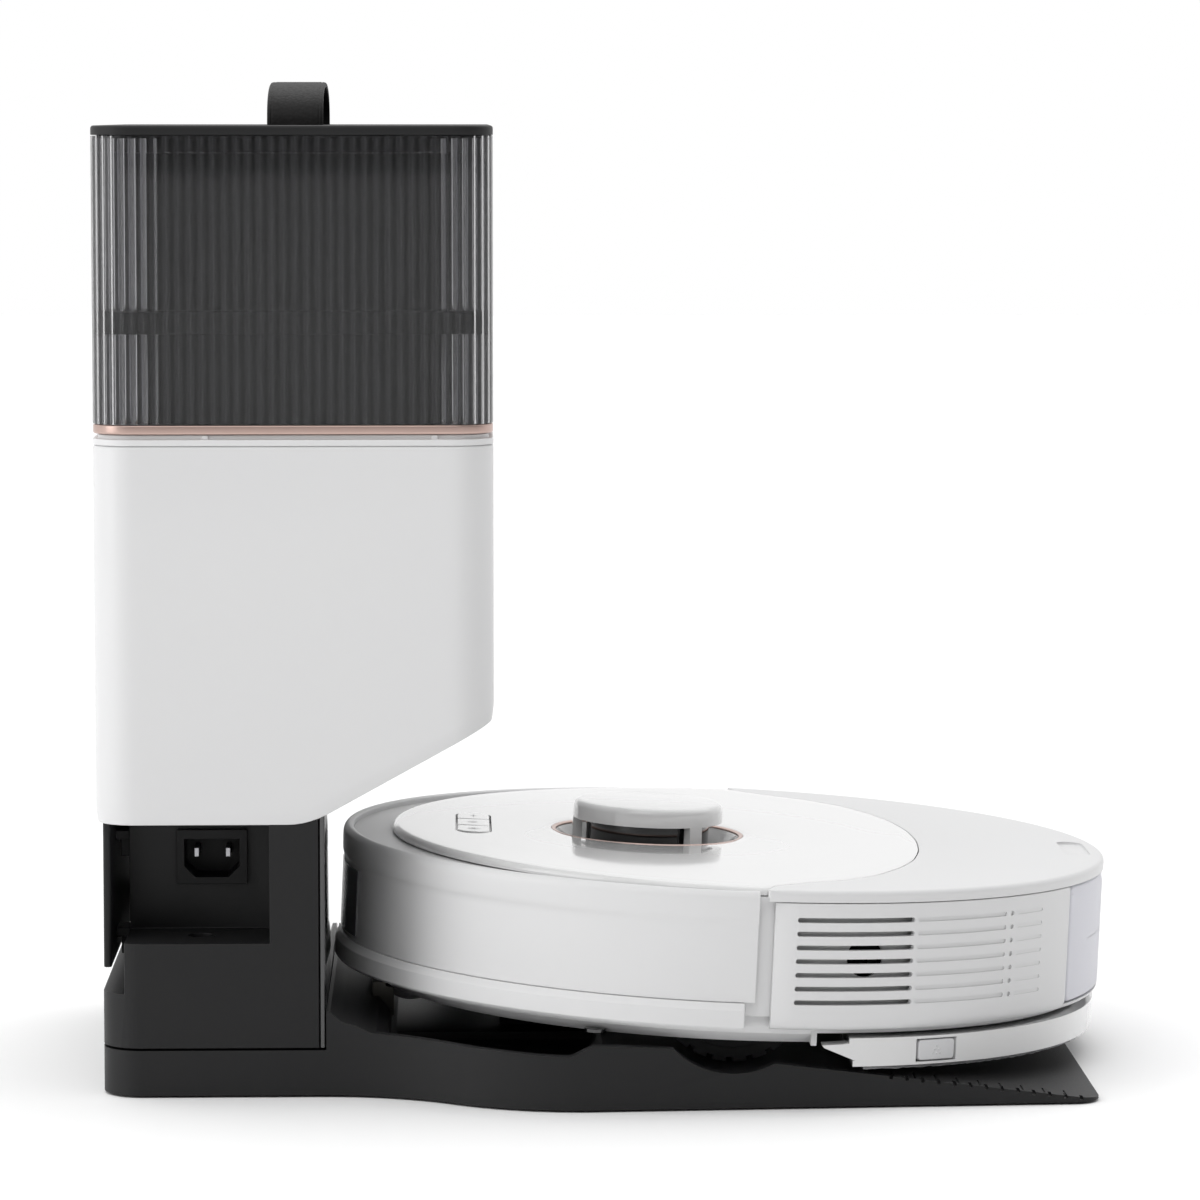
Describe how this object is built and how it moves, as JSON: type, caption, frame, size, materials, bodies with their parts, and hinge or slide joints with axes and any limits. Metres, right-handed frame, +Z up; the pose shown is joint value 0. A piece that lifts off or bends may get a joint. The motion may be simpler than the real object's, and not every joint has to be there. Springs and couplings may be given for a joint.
{
  "type": "robot vacuum on a self-emptying dock",
  "caption": "Round robot vacuum with a laser turret and mop, parked on a tall self-emptying dock with a smoked dust bag cover, strap handle and entry ramp.",
  "frame": {"origin": "centre of the whole object's box on the floor plane, with the robot docked", "axes": "+X from the tower towards the ramp's tip, +Y to the robot's right as it faces the tower, +Z up"},
  "size_m": [0.4584, 0.355, 0.446],
  "materials": {
    "battery": "shrink wrap",
    "board": "solder mask",
    "brass": "plated",
    "bristle": "satin",
    "dock_black": "fine texture",
    "filter": "pleated",
    "gloss_white": "gloss",
    "inner_black": "moulded",
    "latch_grey": "satin",
    "mop_cloth": "tufted",
    "panel_black": "gloss",
    "paper_bag": "non-woven",
    "rose": "satin",
    "rubber": "matt",
    "smoke_bin": "clear",
    "smoked": "clear, ribbed inside",
    "steel": "brushed",
    "strap": "grained",
    "tank_lilac": "frosted",
    "tyre": "matt",
    "white_abs": "satin",
    "window": "gloss"
  },
  "bodies": {
    "dock": {"base_tray": "dock_black", "base_pan": "inner_black", "rubber_feet": "rubber", "base_screws": "steel", "column_shell": "dock_black", "front_panel": "panel_black", "cord_plate": "dock_black", "inlet_socket": "inner_black", "inlet_pins": "steel", "tower_housing": "white_abs", "tower_collar": "white_abs", "bag_bay": "inner_black", "dust_bag": "paper_bag", "motor_housing": "inner_black", "exhaust_filter": "filter", "air_duct": "inner_black", "duct_seal": "rubber", "charge_contacts": "brass"},
    "suction_motor": {"motor_impeller": "steel"},
    "cover": {"cover_shell": "smoked", "cover_lid": "dock_black", "strap_handle": "strap", "cover_band": "rose"},
    "robot": {"chassis_pan": "white_abs", "side_shell": "white_abs", "top_deck": "gloss_white", "turret_ring": "rose", "turret_cap": "gloss_white", "main_board": "board", "battery_pack": "battery", "blower_housing": "inner_black", "dustbin": "smoke_bin", "dustbin_filter": "filter", "brush_frame": "inner_black", "cliff_sensors": "window", "chassis_screws": "steel", "mop_carriage": "latch_grey"},
    "blower": {"blower_impeller": "steel"},
    "bumper": {"bumper_shell": "white_abs", "bumper_skirt": "white_abs", "bumper_window": "window"},
    "lidar": {"lidar_rotor": "window"},
    "home_key": {"home_button": "gloss_white"},
    "power_key": {"power_button": "gloss_white"},
    "spot_key": {"spot_button": "gloss_white"},
    "lid": {"bin_lid": "white_abs"},
    "tank": {"water_tank": "tank_lilac"},
    "mop": {"mop_bracket": "gloss_white", "mop_cloth": "mop_cloth"},
    "latch_left": {"mop_latch_left": "latch_grey"},
    "latch_right": {"mop_latch_right": "latch_grey"},
    "arm_left": {"wheel_arm_left": "inner_black"},
    "arm_right": {"wheel_arm_right": "inner_black"},
    "wheel_left": {"drive_wheel_left": "tyre"},
    "wheel_right": {"drive_wheel_right": "tyre"},
    "caster_swivel": {"caster_fork": "inner_black"},
    "caster_roll": {"caster_wheel": "latch_grey"},
    "sweeper": {"side_brush": "bristle"},
    "roller_front": {"front_roller": "rubber"},
    "roller_rear": {"rear_roller": "rubber"}
  },
  "joints": [
    {"name": "robot_undock", "type": "slide", "parent": "dock", "child": "robot", "axis": [0.999, 0, -0.0454], "range_m": [0, 0.25]},
    {"name": "cover_lift", "type": "slide", "parent": "dock", "child": "cover", "axis": [0, 0, 1], "range_m": [0, 0.14]},
    {"name": "suction_motor_spin", "type": "hinge", "parent": "dock", "child": "suction_motor", "pos_m": [-0.14145, 0.074, 0.2434], "axis": [0, 0, 1], "continuous": true},
    {"name": "blower_spin", "type": "hinge", "parent": "robot", "child": "blower", "pos_m": [0.1273, -0.111, 0.05921], "axis": [0, 1, 0], "continuous": true},
    {"name": "bumper_press", "type": "slide", "parent": "robot", "child": "bumper", "axis": [0.999, 0, -0.0454], "range_m": [0, 0.003], "stiffness_N_per_m": 120, "springref_m": -0.001},
    {"name": "lidar_spin", "type": "hinge", "parent": "robot", "child": "lidar", "pos_m": [0.01795, 0, 0.09821], "axis": [0.0454, 0, 0.999], "continuous": true},
    {"name": "home_press", "type": "slide", "parent": "robot", "child": "home_key", "axis": [-0.0454, 0, -0.999], "range_m": [0, 0.0006], "stiffness_N_per_m": 300, "springref_m": -0.0005},
    {"name": "power_press", "type": "slide", "parent": "robot", "child": "power_key", "axis": [-0.0454, 0, -0.999], "range_m": [0, 0.0006], "stiffness_N_per_m": 300, "springref_m": -0.0005},
    {"name": "spot_press", "type": "slide", "parent": "robot", "child": "spot_key", "axis": [-0.0454, 0, -0.999], "range_m": [0, 0.0006], "stiffness_N_per_m": 300, "springref_m": -0.0005},
    {"name": "bin_lid_lift", "type": "slide", "parent": "robot", "child": "lid", "axis": [0.0454, 0, 0.999], "range_m": [0, 0.06]},
    {"name": "tank_slide", "type": "slide", "parent": "robot", "child": "tank", "axis": [0.999, 0, -0.0454], "range_m": [0, 0.1]},
    {"name": "mop_slide", "type": "slide", "parent": "robot", "child": "mop", "axis": [0.999, 0, -0.0454], "range_m": [0, 0.12]},
    {"name": "latch_left_press", "type": "slide", "parent": "mop", "child": "latch_left", "axis": [-0.5145, 0.8572, 0.0234], "range_m": [0, 0.002], "stiffness_N_per_m": 200, "springref_m": -0.0005},
    {"name": "latch_right_press", "type": "slide", "parent": "mop", "child": "latch_right", "axis": [-0.5145, -0.8572, 0.0234], "range_m": [0, 0.002], "stiffness_N_per_m": 200, "springref_m": -0.0005},
    {"name": "arm_left_swing", "type": "hinge", "parent": "robot", "child": "arm_left", "pos_m": [0.09428, -0.107, 0.0597], "axis": [0, 1, 0], "range_deg": [0, 4]},
    {"name": "arm_right_swing", "type": "hinge", "parent": "robot", "child": "arm_right", "pos_m": [0.09428, 0.107, 0.0597], "axis": [0, 1, 0], "range_deg": [0, 4]},
    {"name": "wheel_left_spin", "type": "hinge", "parent": "arm_left", "child": "wheel_left", "pos_m": [0.05087, -0.126, 0.05166], "axis": [0, 1, 0], "continuous": true},
    {"name": "wheel_right_spin", "type": "hinge", "parent": "arm_right", "child": "wheel_right", "pos_m": [0.05087, 0.126, 0.05166], "axis": [0, 1, 0], "continuous": true},
    {"name": "caster_turn", "type": "hinge", "parent": "robot", "child": "caster_swivel", "pos_m": [-0.09121, 0, 0.05311], "axis": [0.0454, 0, 0.999], "continuous": true},
    {"name": "caster_spin", "type": "hinge", "parent": "caster_swivel", "child": "caster_roll", "pos_m": [-0.09193, 0, 0.03713], "axis": [0, 1, 0], "continuous": true},
    {"name": "side_brush_spin", "type": "hinge", "parent": "robot", "child": "sweeper", "pos_m": [-0.06823, 0.098, 0.03004], "axis": [0.0454, 0, 0.999], "continuous": true},
    {"name": "front_roller_spin", "type": "hinge", "parent": "robot", "child": "roller_front", "pos_m": [-0.02975, 0, 0.03981], "axis": [0, 1, 0], "continuous": true},
    {"name": "rear_roller_spin", "type": "hinge", "parent": "robot", "child": "roller_rear", "pos_m": [0.00222, 0, 0.03836], "axis": [0, 1, 0], "continuous": true}
  ],
  "couplings": [
    {"joint": "rear_roller_spin", "follows": "front_roller_spin", "ratio": -1}
  ]
}
